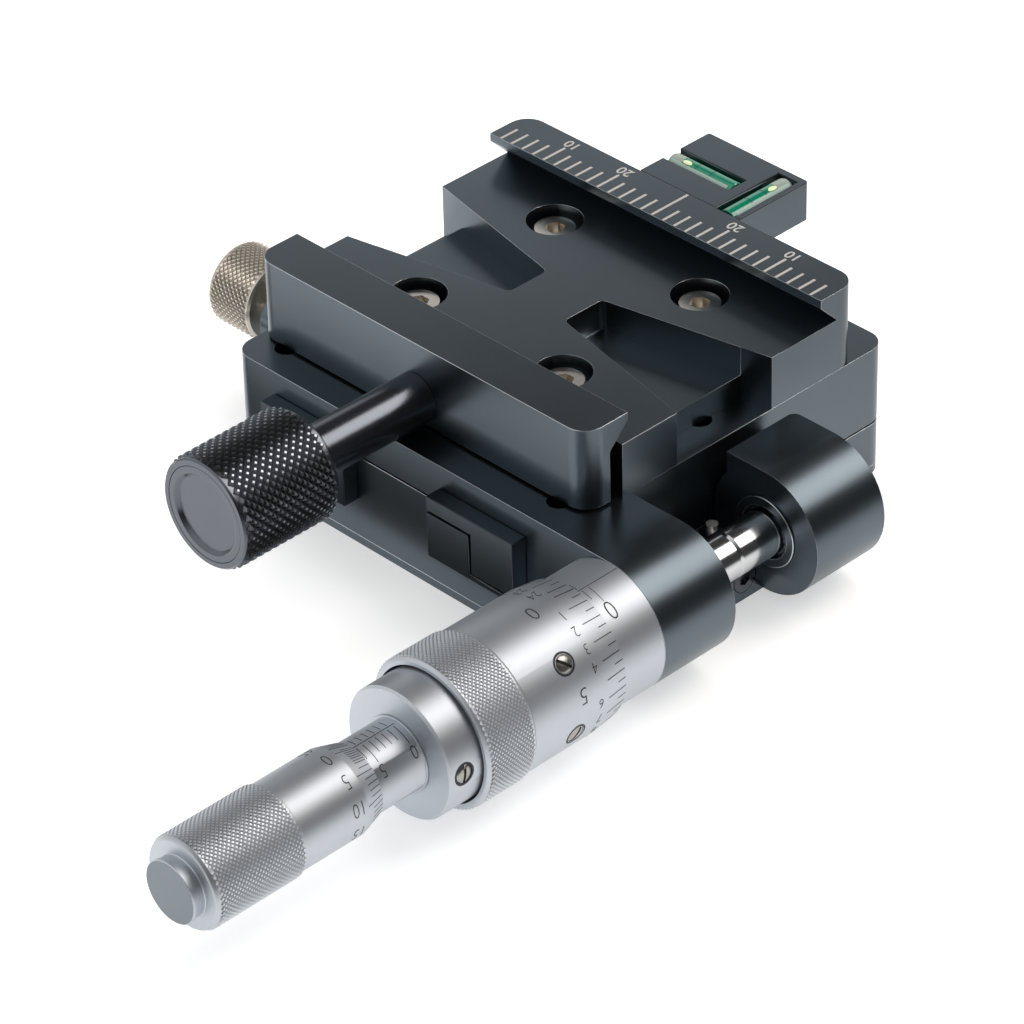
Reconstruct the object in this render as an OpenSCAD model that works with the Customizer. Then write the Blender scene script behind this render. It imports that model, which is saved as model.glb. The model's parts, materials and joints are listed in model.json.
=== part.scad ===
// Macro focusing rail: a crossed-roller stage with a quick-release clamp on top
// and a differential micrometer head that pushes the table against an anvil.
// X runs along the clamp jaws, Y along the travel (the micrometer is at -Y), Z is up.
// The origin is the middle of the base's underside. Lengths are in millimetres.

/* [Stage] */
// Width of the stage across its rails
stage_w = 60; // [56:1:72]
// Depth of the stage along its travel
stage_d = 60; // [56:1:72]
// Height of the table's top face above the underside
stage_h = 19.6; // [19:0.1:22]
// Radius of the stage's upright corners
corner_r = 3; // [1:0.5:5]
// Travel of the table to each side of the middle
travel = 6.5; // [3:0.5:6.5]
// Thickness of the plate under the base
plate_t = 1.3; // [1:0.1:2]
// Height of the base's side flanges
flange_h = 7.9; // [7:0.1:8.5]
// Height of the base's raised middle
core_h = 13.8; // [13:0.1:14.5]
// Gap between the table and the base
slide_gap = 0.3; // [0.2:0.05:0.4]

/* [Rails] */
// Sideways offset of the rail pair from the middle
rail_shift = 1; // [0:0.5:1.5]
// Distance from the rail pair's middle to each row of rollers
rail_half = 15.4; // [14:0.2:16.5]
// Thickness of one rail
rail_t = 4; // [3.5:0.1:4.5]
// Gap between the two rails of a pair
rail_gap = 0.4; // [0.3:0.05:0.6]
// Diameter of the crossed rollers
roller_d = 3; // [2.4:0.1:3]
// Rollers in each row
roller_n = 11; // [5:1:11]
// Width of the end caps
cap_w = 15.4; // [14.5:0.1:16]
// How far the end caps stand out
cap_t = 2.5; // [1.5:0.1:3]
// Height of the end caps
cap_h = 9.2; // [8.6:0.1:9.4]

/* [Clamp] */
// Length of the clamp and its jaws
clamp_w = 60; // [54:1:60]
// Height of the clamp's floor above the table
floor_h = 7.8; // [7.6:0.1:9]
// Height of the jaws above the clamp's floor
jaw_h = 4.3; // [4:0.1:5]
// Upright part of a jaw's lip
lip_h = 1.2; // [0.8:0.1:1.6]
// Width of the mouth between the jaws
mouth_w = 34.9; // [32:0.1:36]
// Depth of the fixed jaw along Y
rear_jaw_t = 7; // [6:0.1:8]
// Thickness of the moving jaw at its top
front_jaw_t = 7.4; // [6.8:0.1:8]
// Gap between the moving jaw and the clamp's body
jaw_gap = 2.1; // [2:0.1:2.8]
// Depth of the two lightening pockets
pocket_h = 4.2; // [3:0.1:4.5]
// Half width of a pocket at its inner end
pocket_in = 3.6; // [3:0.1:4.2]
// Half width of a pocket at its outer end
pocket_out = 8.6; // [7:0.1:9]

/* [Knobs] */
// Diameter of the clamp knob
knob_d = 15.7; // [14:0.1:18]
// Length of the clamp knob
knob_l = 16; // [12:0.5:18]
// Diameter of the clamp knob's shaft
shaft_d = 7; // [6:0.1:7.5]
// Bare length of the clamp knob's shaft
shaft_l = 19.9; // [14:0.1:24]
// Diameter of the lock knob
lock_d = 11.8; // [10:0.1:12]
// Length of the lock knob
lock_l = 8; // [6:0.5:10]

/* [Micrometer] */
// Distance from the stage's side to the micrometer's axis
axis_out = 9.1; // [9:0.1:11]
// Height of the micrometer's axis
axis_z = 10.6; // [10.4:0.1:11]
// Thickness of the ear and of the anvil bracket along Y
ear_t = 12.4; // [10:0.1:13]
// Clear distance from the ear to the anvil bracket
anvil_gap = 14.9; // [14.8:0.1:16]
// Diameter of the spindle
spindle_d = 6.4; // [5.8:0.1:6.6]
// Diameter of the head's stem
stem_d = 18; // [17.8:0.1:18.2]
// Bare length of the stem
stem_bare = 7.3; // [5:0.1:8]
// Diameter of the fine thimble
fine_d = 19.9; // [19.6:0.1:20.4]
// Length of the fine thimble
fine_l = 15.7; // [15:0.1:17]
// Diameter of the fine thimble's knurled ring
fine_grip_d = 20.6; // [20.2:0.1:21.2]
// Length of the fine thimble's knurled ring
fine_grip_l = 8; // [7:0.1:9]
// Diameter of the hub between the two heads
hub_d = 17.8; // [16:0.1:17.8]
// Bare length of the hub
hub_bare = 5.1; // [4:0.1:6]
// Diameter of the coarse scale's sleeve
sleeve_d = 9.7; // [9.4:0.1:9.8]
// Bare length of the coarse scale's sleeve
sleeve_bare = 7.3; // [7:0.1:9]
// Diameter of the coarse thimble
coarse_d = 11.8; // [11.2:0.1:12.4]
// Length of the coarse thimble before its grip
coarse_l = 13; // [10:0.1:16]
// Diameter of the coarse thimble's knurled grip
coarse_grip_d = 12.5; // [12.3:0.1:13.5]
// Length of the coarse thimble's knurled grip
coarse_grip_l = 12.1; // [9:0.1:15]

/* [Level] */
// Width of the level block
level_w = 18; // [17:0.1:22]
// Depth of the level block
level_d = 13.3; // [12.5:0.1:16]
// Height of the level block
level_h = 6; // [5:0.1:7]
// Outer diameter of the vials
vial_d = 3; // [2.6:0.1:3.2]

/* [Hidden] */

// facets of a full circle, and of a corner or edge that is rounded
$fn = 96;
round_fn = 48;
// overrun of a cut past the face that it opens
over = 1;
// radial clearance of a running fit and of a seat
run_fit = 0.05;
seat_fit = 0.03;

// the stage's faces
x_side = stage_w / 2;
y_end = stage_d / 2;
skirt_z = flange_h + slide_gap;
roof_z = core_h + slide_gap;
edge_ease = 0.3;

// the rails: the base rail lies inside the row of rollers, the table rail outside
rail_mid_z = (flange_h + roof_z) / 2;
rail_low = rail_mid_z - flange_h;
rail_high = core_h - rail_mid_z;
core_half = rail_half - rail_gap / 2 - rail_t;
skirt_half = rail_half + rail_gap / 2 + rail_t;
vee_half = roller_d / sqrt(2);
roller_ease = 0.04;
roller_pitch = 4.4;
cage_t = 0.2;
cage_rim = 0.35;
cage_l = roller_pitch * roller_n + cage_rim;
cage_h = (roller_d * sqrt(2)) + 2 * cage_rim;

// the end caps, and the stepped gap that parts the base's caps from the table's
cap_z = 7.1;
cap_ease = 0.4;
cap_top_z = cap_z + cap_h;

// fastenings: clearance and tapped radii of the small screws
m2_r = 1;
m3_r = 1.5;
m3_head_r = 2.75;
m3_head_h = 3;
socket_r = 1.45;
socket_h = 1.6;
tap_r = 1.65;
tap_h = 5;
hole_pitch = 50;

// the tripod thread under the base and the boss that carries it
thread_r = 2.6;
thread_h = 9;
boss_r = 8;
bottom_head_r = 2.6;
bottom_head_h = 0.9;
bottom_screw_l = 5;
bottom_pitch_x = 50;
bottom_pitch_y = 26;
bottom_socket_h = 0.45;

// the ear and the anvil bracket share the micrometer's axis
axis_x = x_side + axis_out;
ear_r = stage_h - axis_z;
ear_y0 = -y_end;
ear_y1 = ear_y0 + ear_t;
side_gap = 0.4;
anvil_y0 = ear_y1 + anvil_gap;
anvil_y1 = anvil_y0 + ear_t;
anvil_drop = 0.1;
anvil_r = ear_r - anvil_drop;
anvil_side_gap = 2.3;
foot_w = 7.2;
foot_h = 7.4;
foot_front = 7.9;
anvil_corner_r = 1.2;
bush_r = 5;
bush_l = 8;
bush_proud = 0.3;
bush_step_r = 3.75;
bush_step_h = 0.8;
anvil_pin_l = 7.4;
anvil_head_r = 1.9;
anvil_head_h = 1.2;
anvil_screw_l = 5.5;
anvil_screw_pitch = 3.9;
anvil_screw_in = 1.7;
anvil_screw_y = anvil_y0 - anvil_screw_in;
anvil_screw_z = 3.1;
stop_r = 0.8;
stop_top = 3.7;
stop_sunk = 2;
stop_x = x_side + foot_w / 2;
stop_y = anvil_y0 - foot_front / 2;

// the micrometer's stations along -Y, from the ear outwards
axis_clear = 0.1;
spindle_r = spindle_d / 2;
guide_r = spindle_r + axis_clear;
stem_r = stem_d / 2;
shank_r = 6.2;
nose_r = 6;
tube_r = 4.6;
fine_edge_y = ear_y0 - stem_bare;
bevel_l = 3.7;
bevel_drop = 0.45;
fine_bore_r = stem_r + run_fit;
stem_in = 5;
stem_end_y = fine_edge_y - bevel_l - stem_in;
web_t = 1.4;
fine_y1 = fine_edge_y - fine_l;
nut_l = 2;
nut_gap = 0.3;
nut_y0 = fine_y1 + web_t + nut_gap + nut_l;
fine_pitch = 0.5;
fine_turns = 4;
fine_travel = fine_pitch * fine_turns;
grip_y1 = fine_y1 - fine_grip_l;
grip_web_t = 1.2;
grip_gap = 0.35;
grip_bore_r = hub_d / 2 + grip_gap;
grip_ease = 0.5;
nose_end_y = fine_y1 - grip_web_t - fine_travel - nut_gap;
hub_y0 = nose_end_y - 2 * nut_gap;
hub_y1 = grip_y1 - hub_bare;
tube_l = 13;
hub_ring_r = 5.2;
hub_ring_h = 0.3;
hub_screw_r = 1.2;
hub_screw_deg = 3;
sleeve_r = sleeve_d / 2;
coarse_edge_y = hub_y1 - sleeve_bare;
coarse_bore_r = sleeve_r + run_fit;
coarse_edge_t = 0.12;
coarse_bevel_l = 3;
sleeve_hold = 3.1;
sleeve_end_y = coarse_edge_y - travel - sleeve_hold;
bore_room = 0.7;
coarse_bore_y = sleeve_end_y - travel - bore_room;
coarse_grip_y0 = coarse_edge_y - coarse_l;
coarse_grip_y1 = coarse_grip_y0 - coarse_grip_l;
collar_l = 1.8;
collar_ease = 1;
coarse_end_y = coarse_grip_y1 - collar_l;
neck_r = 2;
neck_l = 3;
button_d = 8.4;
button_l = 1.9;
button_ease = 0.6;
button_stem_r = 1.5;
button_stem_l = 3;
thimble_screw_r = 1.15;
thimble_screw_degs = [40, -19];
thimble_screw_in = 4.9;
thimble_screw_y = fine_edge_y - bevel_l - thimble_screw_in;

// the clamp
clamp_front = 18.9;
clamp_y0 = -clamp_front;
clamp_z = stage_h;
floor_z = clamp_z + floor_h;
jaw_top_z = floor_z + jaw_h;
mouth_rear = 17;
mouth_y1 = mouth_rear;
mouth_y0 = mouth_y1 - mouth_w;
undercut = jaw_h - lip_h;
clamp_y1 = mouth_y1 + rear_jaw_t;
jaw_face_y = clamp_y0 - jaw_gap;
jaw_front_y = mouth_y0 - front_jaw_t;
jaw_lift = 0.4;
jaw_corner_r = 3;
clamp_corner_r = 3;
pocket_shift = -0.6;
pocket_x0 = 5;
pocket_end_in = 4.5;
pocket_r = 1;
pocket_z = floor_z - pocket_h;
screw_x = 13.2;
screw_y = 12.4;
bore_head_r = 3.85;
screw_sunk = 1.2;
screw_bite = 4.4;
drive_drop = 3.7;
drive_z = floor_z - drive_drop;
drive_bore_r = 2.55;
drive_r = 2.5;
drive_l = 10.9;
drive_bore_l = 14;
jaw_close = 1.8;
guide_x = 20.5;
guide_pin_r = 1.5;
guide_in_jaw = 3;
guide_in_body = 8.5;
guide_room = 0.4;
guide_bore_l = guide_in_body + jaw_close + guide_room;

// the clamp knob
knob_r = knob_d / 2;
shaft_r = shaft_d / 2;
knob_y0 = jaw_front_y - shaft_l;
knob_y1 = knob_y0 - knob_l;
knob_ease = 0.6;
knob_rim = 1.3;
knob_cap_r = knob_r - knob_rim;
knob_cap_t = 2;
dish_step = 0.95;
dish_r = knob_cap_r - dish_step;
dish_h = 0.5;
knob_stem_r = 3;

// the table's lock, on the left of the base
lock_y = -12.2;
lock_z = 13.6;
lock_post_gap = 1.6;
lock_post_t = 6.9;
lock_post_w = 11.6;
lock_post_h = 18.2;
lock_post_r = 4.6;
lock_screw_r = 2;
lock_pad_r = 3.2;
lock_pad_t = 2.4;
lock_pad_gap = 0.3;
lock_pad_room = 0.7;
lock_neck_r = 3;
lock_neck_l = 2.1;
lock_neck_gap = 0.4;
lock_x0 = -x_side - lock_post_gap;
lock_x1 = lock_x0 - lock_post_t;
lock_knob_x = lock_x1 - lock_neck_gap - lock_neck_l;
lock_ease = 0.5;

// the level block behind the fixed jaw
level_y0 = clamp_y1;
level_y1 = level_y0 + level_d;
level_z0 = jaw_top_z - level_h;
vial_r = vial_d / 2;
vial_wall = 0.35;
vial_fit = 0.1;
vial_proud = 0.1;
vial_z = jaw_top_z - vial_r + vial_proud;
vial_x_l = 11.6;
vial_x_back = 6.1;
vial_x_y = level_y0 + vial_x_back;
vial_x_in = 0.2;
vial_y_side = 1;
vial_y_x = level_w / 2 - vial_r - vial_y_side;
vial_y_l = 11.4;
vial_y_in = 0.5;
vial_y_y = level_y0 + vial_y_in;
bubble_r = 0.55;
bubble_l = 1.4;
bubble_x_at = 4.2;
bubble_y_at = 7.2;
liquid_fit = 0.02;
level_ease = 0.4;

// colours
anodised = "#26282c";
dark = "#1a1b1e";
satin = "#c3c7ca";
bright = "#dcdfe2";
steel = "#a9a497";
champagne = "#b9aa90";
liquid_green = "#1fa884";
clear_glass = "#d8ebe4";

// a box with upright rounded corners, from z0 to z1
module rounded_block(x0, x1, y0, y1, z0, z1, r) {
    translate([0, 0, z0]) linear_extrude(z1 - z0) rounded_plan(x0, x1, y0, y1, r);
}

// a rectangle whose four corners are arcs of radius r
module rounded_plan(x0, x1, y0, y1, r) {
    translate([x0 + r, y0]) square([x1 - x0 - 2 * r, y1 - y0]);
    translate([x0, y0 + r]) square([x1 - x0, y1 - y0 - 2 * r]);
    for (x = [x0 + r, x1 - r], y = [y0 + r, y1 - r])
        translate([x, y]) circle(r, $fn = round_fn);
}

// an XZ outline drawn as a prism from y0 to y1
module along_y(y0, y1) {
    translate([0, y1, 0]) rotate([90, 0, 0]) linear_extrude(y1 - y0) children();
}

// a profile of (radius, y) points turned about the micrometer's axis
module turned(points) {
    translate([axis_x, 0, axis_z]) rotate([-90, 0, 0]) rotate_extrude()
        polygon(points);
}

// a round bar along Y from y0 to y1 about (x, z)
module bar_y(x, z, r, y0, y1) {
    translate([x, y0, z]) rotate([-90, 0, 0]) cylinder(h = y1 - y0, r = r);
}

// a round bar along X from x0 to x1 about (y, z)
module bar_x(y, z, r, x0, x1) {
    translate([x0, y, z]) rotate([0, 90, 0]) cylinder(h = x1 - x0, r = r);
}

// a round bar along Z from z0 to z1 about (x, y)
module bar_z(x, y, r, z0, z1) {
    translate([x, y, z0]) cylinder(h = z1 - z0, r = r);
}

// places four copies at the corners of a rectangle of the given pitch
module four(px, py) {
    for (sx = [-1, 1], sy = [-1, 1])
        translate([sx * px / 2, sy * py / 2, 0]) children();
}

// the base: flanges, raised middle, threaded boss and tapped corner holes
module base_block() {
    color(anodised) difference() {
        union() {
            rounded_block(-x_side, x_side, -y_end, y_end, plate_t, flange_h, corner_r);
            translate([rail_shift - core_half, -y_end, flange_h - over])
                cube([2 * core_half, stage_d, core_h - flange_h + over]);
            bar_z(0, 0, boss_r, 0, flange_h);
        }
        bar_z(0, 0, thread_r, -over, thread_h);
        four(hole_pitch, hole_pitch) cylinder(h = plate_t + tap_h, r = tap_r);
        four(bottom_pitch_x, bottom_pitch_y)
            cylinder(h = bottom_screw_l + over, r = m2_r + seat_fit);
        for (n = [0, 1])
            bar_x(anvil_screw_y - n * anvil_screw_pitch, anvil_screw_z, m2_r + seat_fit,
                x_side - anvil_screw_l, x_side + over);
    }
}

// the thin plate under the base
module bottom_plate() {
    color(anodised) difference() {
        rounded_block(-x_side, x_side, -y_end, y_end, 0, plate_t, corner_r);
        bar_z(0, 0, boss_r + seat_fit, -over, plate_t + over);
        four(hole_pitch, hole_pitch)
            translate([0, 0, -over]) cylinder(h = plate_t + 2 * over, r = tap_r);
        four(bottom_pitch_x, bottom_pitch_y) {
            translate([0, 0, -over]) cylinder(h = bottom_head_h + over, r = bottom_head_r + axis_clear);
            cylinder(h = plate_t + over, r = m2_r + seat_fit);
        }
    }
}

// one flat-headed screw of the bottom plate
module bottom_screw(n) {
    sx = n < 2 ? -1 : 1;
    sy = n % 2 == 0 ? -1 : 1;
    color(steel) translate([sx * bottom_pitch_x / 2, sy * bottom_pitch_y / 2, 0]) {
        difference() {
            cylinder(h = bottom_head_h, r = bottom_head_r);
            translate([0, 0, -over]) cylinder(h = over + bottom_socket_h, r = m2_r, $fn = 6);
        }
        translate([0, 0, bottom_head_h]) cylinder(h = bottom_screw_l - bottom_head_h, r = m2_r);
    }
}

// the section of a rail whose vee opens to +X at x = 0, from low below to high above it
module rail_section(low, high) {
    difference() {
        translate([-rail_t, -low]) square([rail_t, low + high]);
        translate([rail_gap / 2, 0]) rotate(45) square(sqrt(2) * vee_half, center = true);
    }
}

// a rail on the base's middle; side is -1 for the left one
module base_rail(side) {
    color(bright) translate([rail_shift, 0, 0]) scale([side, 1, 1])
        translate([rail_half - rail_gap / 2, 0, rail_mid_z])
            along_y(-y_end, y_end) rail_section(rail_low, rail_high);
}

// a rail in the table's skirt
module table_rail(side) {
    color(bright) translate([rail_shift, 0, 0]) scale([side, 1, 1])
        translate([rail_half + rail_gap / 2, 0, rail_mid_z])
            along_y(-y_end, y_end) mirror([1, 0]) rail_section(rail_high, rail_low);
}

// the strip that spaces the rollers
module roller_cage(side) {
    color(champagne) translate([rail_shift + side * rail_half, 0, rail_mid_z]) difference() {
        cube([cage_t, cage_l, cage_h], center = true);
        for (n = [0 : roller_n - 1])
            translate([0, (n - (roller_n - 1) / 2) * roller_pitch, 0])
                cube([cage_t + 2 * over, roller_d + 2 * roller_ease, roller_d * sqrt(2)], center = true);
    }
}

// the crossed rollers: each leans the other way from its neighbour
module rollers(side) {
    length = roller_d - 4 * roller_ease;
    color(bright) for (n = [0 : roller_n - 1])
        translate([rail_shift + side * rail_half, (n - (roller_n - 1) / 2) * roller_pitch, rail_mid_z])
            rotate([0, n % 2 == 0 ? 45 : -45, 0])
                cylinder(h = length, r = roller_d / 2 - roller_ease, center = true, $fn = round_fn);
}

// the outline of an end cap's base half: an inner block with a strip under the table's half
module base_cap_section() {
    translate([rail_half - cap_w / 2, cap_z]) square([cap_w, flange_h - cap_z]);
    translate([rail_half - cap_w / 2, cap_z])
        square([cap_w / 2 - rail_gap / 2, core_h - cap_z]);
}

// the outline of an end cap's table half: an outer block with a strip over the base's half
module table_cap_section() {
    translate([rail_half - cap_w / 2, roof_z]) square([cap_w, cap_top_z - roof_z]);
    translate([rail_half + rail_gap / 2, skirt_z])
        square([cap_w / 2 - rail_gap / 2, cap_top_z - skirt_z]);
}

// puts a cap section on the left or right, at the front or the rear
module placed_cap(side, face) {
    y0 = face < 0 ? -y_end - cap_t : y_end;
    translate([rail_shift, 0, 0]) scale([side, 1, 1]) along_y(y0, y0 + cap_t) children();
}

module base_cap(side, face) {
    color(anodised) placed_cap(side, face) base_cap_section();
}

module table_cap(side, face) {
    color(anodised) placed_cap(side, face) table_cap_section();
}

// the outline of a lug with a round end about the micrometer's axis
module lug_section(x0, r) {
    translate([x0, axis_z - r]) square([axis_x - x0, 2 * r]);
    translate([axis_x, axis_z]) circle(r);
}

// the bracket on the base's right: a foot beside the base and a round-ended slab
module anvil_bracket() {
    slab_x0 = x_side + anvil_side_gap;
    color(anodised) difference() {
        union() {
            translate([x_side, anvil_y0 - foot_front, 0])
                cube([foot_w, foot_front + ear_t, foot_h]);
            along_y(anvil_y0, anvil_y1) lug_section(slab_x0, anvil_r);
        }
        translate([slab_x0, anvil_y1, foot_h]) upright_round(anvil_corner_r, stage_h);
        bar_y(axis_x, axis_z, bush_r + seat_fit, anvil_y0 - over, anvil_y0 + bush_l);
        bar_z(stop_x, stop_y, stop_r + seat_fit, foot_h - stop_sunk, foot_h + over);
        for (n = [0, 1]) translate([0, -n * anvil_screw_pitch, 0]) {
            bar_x(anvil_screw_y, anvil_screw_z, m2_r + axis_clear, x_side - over, x_side + foot_w);
            bar_x(anvil_screw_y, anvil_screw_z, anvil_head_r + axis_clear,
                x_side + foot_w - anvil_head_h, x_side + foot_w + over);
        }
    }
}

// a cutter that rounds the upright edge at its origin, on the side of +X and -Y
module upright_round(r, h) {
    difference() {
        translate([-over, -r, 0]) cube([r + over, r + over, h]);
        translate([r, -r, -over]) cylinder(h = h + 2 * over, r = r, $fn = round_fn);
    }
}

// one socket screw that holds the bracket to the base
module anvil_screw(n) {
    x1 = x_side + foot_w;
    y = anvil_screw_y - n * anvil_screw_pitch;
    color(steel) difference() {
        union() {
            bar_x(y, anvil_screw_z, anvil_head_r, x1 - anvil_head_h, x1);
            bar_x(y, anvil_screw_z, m2_r, x_side - anvil_screw_l, x1 - anvil_head_h);
        }
        bar_x(y, anvil_screw_z, anvil_head_r / 2, x1 - anvil_head_h / 2, x1 + over, $fn = 6);
    }
}

// the flanged bush in the bracket, with a stepped mouth round the pin
module anvil_bush() {
    y0 = anvil_y0 - bush_proud;
    color(anodised) turned([[spindle_r, y0 + bush_step_h], [bush_step_r, y0 + bush_step_h],
        [bush_step_r, y0], [bush_r, y0], [bush_r, anvil_y0 + bush_l], [spindle_r, anvil_y0 + bush_l]]);
}

// the hardened pin that the spindle bears on
module anvil_pin() {
    y0 = anvil_y0 - anvil_pin_l;
    color(bright) turned([[0, y0], [spindle_r - edge_ease, y0], [spindle_r, y0 + edge_ease],
        [spindle_r, anvil_y0 + bush_l], [0, anvil_y0 + bush_l]]);
}

module stop_pin() {
    color(steel) bar_z(stop_x, stop_y, stop_r, foot_h - stop_sunk, foot_h + stop_top);
}

// the spindle: it doesn't turn, and stays against the anvil while the table moves
module spindle() {
    tip_y = anvil_y0 - anvil_pin_l;
    color(bright) turned([[0, tip_y], [spindle_r - edge_ease, tip_y], [spindle_r, tip_y - edge_ease],
        [spindle_r, coarse_bore_y + axis_clear], [neck_r, coarse_bore_y + axis_clear],
        [neck_r, coarse_bore_y - neck_l], [0, coarse_bore_y - neck_l]]);
}

// the lock's bracket on the base's left, with a round top about the lock's screw
module lock_bracket() {
    color(anodised) difference() {
        union() {
            translate([lock_x1, lock_y - lock_post_w / 2, 0])
                cube([-x_side - lock_x1, lock_post_w, foot_h]);
            translate([lock_x1, lock_y, 0]) rotate([90, 0, 90]) linear_extrude(lock_post_t)
                post_section();
        }
        bar_x(lock_y, lock_z, lock_screw_r + run_fit, lock_x1 - over, lock_x0 + over);
        bar_x(lock_y, lock_z, lock_pad_r + run_fit,
            -x_side - lock_pad_gap - lock_pad_t - lock_pad_room, lock_x0 + over);
    }
}

// the upright outline of the lock's post, with two rounded shoulders
module post_section() {
    half = lock_post_w / 2;
    translate([-half, 0]) square([lock_post_w, lock_post_h - lock_post_r]);
    translate([lock_post_r - half, 0]) square([lock_post_w - 2 * lock_post_r, lock_post_h]);
    for (y = [-1, 1]) translate([y * (half - lock_post_r), lock_post_h - lock_post_r])
        circle(lock_post_r, $fn = round_fn);
}

// the table: a saddle over the base with the micrometer's ear at its front right
module table() {
    color(anodised) difference() {
        union() {
            difference() {
                rounded_block(-x_side, x_side, -y_end, y_end, skirt_z, stage_h, corner_r);
                translate([rail_shift - skirt_half, -y_end - over, skirt_z - over])
                    cube([2 * skirt_half, stage_d + 2 * over, roof_z - skirt_z + over]);
            }
            along_y(ear_y0, ear_y1) {
                lug_section(x_side + side_gap, ear_r);
                translate([x_side - corner_r - over, skirt_z])
                    square([axis_x - x_side + corner_r + over, stage_h - skirt_z]);
            }
        }
        bar_y(axis_x, axis_z, shank_r + seat_fit, ear_y0 - over, ear_y1 + over);
        for (x = [-1, 1], y = [-1, 0, 1])
            translate([x * hole_pitch / 2, y * hole_pitch / 2, stage_h - tap_h])
                cylinder(h = tap_h + over, r = tap_r);
        four(2 * screw_x, 2 * screw_y)
            translate([0, 0, stage_h - screw_bite - axis_clear])
                cylinder(h = screw_bite + axis_clear + over, r = m3_r + seat_fit);
    }
}

// the clamp's fixed half: floor, undercut rear jaw and two tapering pockets
module clamp_body() {
    half = clamp_w / 2;
    color(anodised) difference() {
        clamp_prism();
        for (side = [0, 1]) mirror([side, 0, 0]) {
            translate([0, pocket_shift, pocket_z])
                linear_extrude(jaw_h + pocket_h) pocket_wedge();
            translate([half - pocket_end_in, pocket_shift, clamp_z - over])
                linear_extrude(floor_h + 2 * over) pocket_end();
            translate([half, clamp_y1, clamp_z - over]) mirror([1, 0, 0])
                upright_round(clamp_corner_r, jaw_top_z - clamp_z + 2 * over);
            bar_y(guide_x, drive_z, guide_pin_r + run_fit, clamp_y0 - over, clamp_y0 + guide_bore_l);
        }
        four(2 * screw_x, 2 * screw_y) {
            translate([0, 0, clamp_z - over]) cylinder(h = floor_h + over, r = m3_r + axis_clear);
            translate([0, 0, floor_z - screw_sunk - m3_head_h])
                cylinder(h = screw_sunk + m3_head_h + over, r = bore_head_r);
        }
        bar_y(0, drive_z, drive_bore_r, clamp_y0 - over, clamp_y0 + drive_bore_l);
    }
}

// the pocket's taper, with rounded inner corners drawn as arcs
module pocket_wedge() {
    reach = clamp_w / 2 + 2 * over;
    slope = (pocket_out - pocket_in) / (clamp_w / 2 - pocket_x0);
    grow = slope * (reach - pocket_x0);
    polygon([[pocket_x0 + pocket_r, -pocket_in], [reach, -pocket_in - grow],
        [reach, pocket_in + grow], [pocket_x0 + pocket_r, pocket_in]]);
    translate([pocket_x0, pocket_r - pocket_in]) square([pocket_r + edge_ease, 2 * (pocket_in - pocket_r)]);
    for (y = [-1, 1]) translate([pocket_x0 + pocket_r, y * (pocket_in - pocket_r)])
        circle(pocket_r, $fn = round_fn);
}

// the pocket's open end, where it is cut down to the table
module pocket_end() {
    slope = (pocket_out - pocket_in) / (clamp_w / 2 - pocket_x0);
    near = pocket_out - slope * pocket_end_in;
    far = pocket_out + slope * 2 * over;
    polygon([[0, -near], [pocket_end_in + 2 * over, -far], [pocket_end_in + 2 * over, far], [0, near]]);
}

// the clamp body's YZ outline, drawn along X
module clamp_prism() {
    translate([-clamp_w / 2, 0, 0]) rotate([90, 0, 90]) linear_extrude(clamp_w)
        polygon([[clamp_y0, clamp_z], [clamp_y1, clamp_z], [clamp_y1, jaw_top_z],
            [mouth_y1, jaw_top_z], [mouth_y1, jaw_top_z - lip_h],
            [mouth_y1 + undercut, floor_z], [clamp_y0, floor_z]]);
}

// one socket-head screw that holds the clamp to the table
module clamp_screw(n) {
    sx = n < 2 ? -1 : 1;
    sy = n % 2 == 0 ? -1 : 1;
    top = floor_z - screw_sunk;
    color(steel) translate([sx * screw_x, sy * screw_y, 0]) difference() {
        union() {
            bar_z(0, 0, m3_head_r, top - m3_head_h, top);
            bar_z(0, 0, m3_r, stage_h - screw_bite, top - m3_head_h);
        }
        translate([0, 0, top - socket_h]) cylinder(h = socket_h + over, r = socket_r, $fn = 6);
    }
}

// the moving jaw
module front_jaw() {
    half = clamp_w / 2;
    z0 = clamp_z + jaw_lift;
    color(anodised) difference() {
        translate([-half, 0, 0]) rotate([90, 0, 90]) linear_extrude(2 * half)
            polygon([[jaw_front_y, z0], [jaw_face_y, z0], [jaw_face_y, floor_z],
                [mouth_y0, jaw_top_z - lip_h], [mouth_y0, jaw_top_z], [jaw_front_y, jaw_top_z]]);
        for (side = [0, 1]) mirror([side, 0, 0]) {
            translate([half, jaw_front_y, z0 - over]) mirror([1, 0, 0]) mirror([0, 1, 0])
                upright_round(jaw_corner_r, jaw_top_z - z0 + 2 * over);
            bar_y(guide_x, drive_z, guide_pin_r + seat_fit, jaw_face_y - guide_in_jaw, jaw_face_y + over);
        }
        bar_y(0, drive_z, drive_r + run_fit, jaw_front_y - over, jaw_face_y + over);
    }
}

// a guide pin, pressed into the jaw and sliding in the clamp's body
module jaw_pin(side) {
    color(bright) bar_y(side * guide_x, drive_z, guide_pin_r,
        jaw_face_y - guide_in_jaw, clamp_y0 + guide_in_body);
}

// the clamp's drive screw: a thick shaft outside the jaw and a thread inside the body
module clamp_spindle() {
    color(dark) {
        bar_y(0, drive_z, knob_stem_r, knob_y1 + knob_cap_t, knob_y0);
        bar_y(0, drive_z, shaft_r, knob_y0, jaw_front_y);
        bar_y(0, drive_z, drive_r, jaw_front_y, clamp_y0 + drive_l);
    }
}

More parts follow.
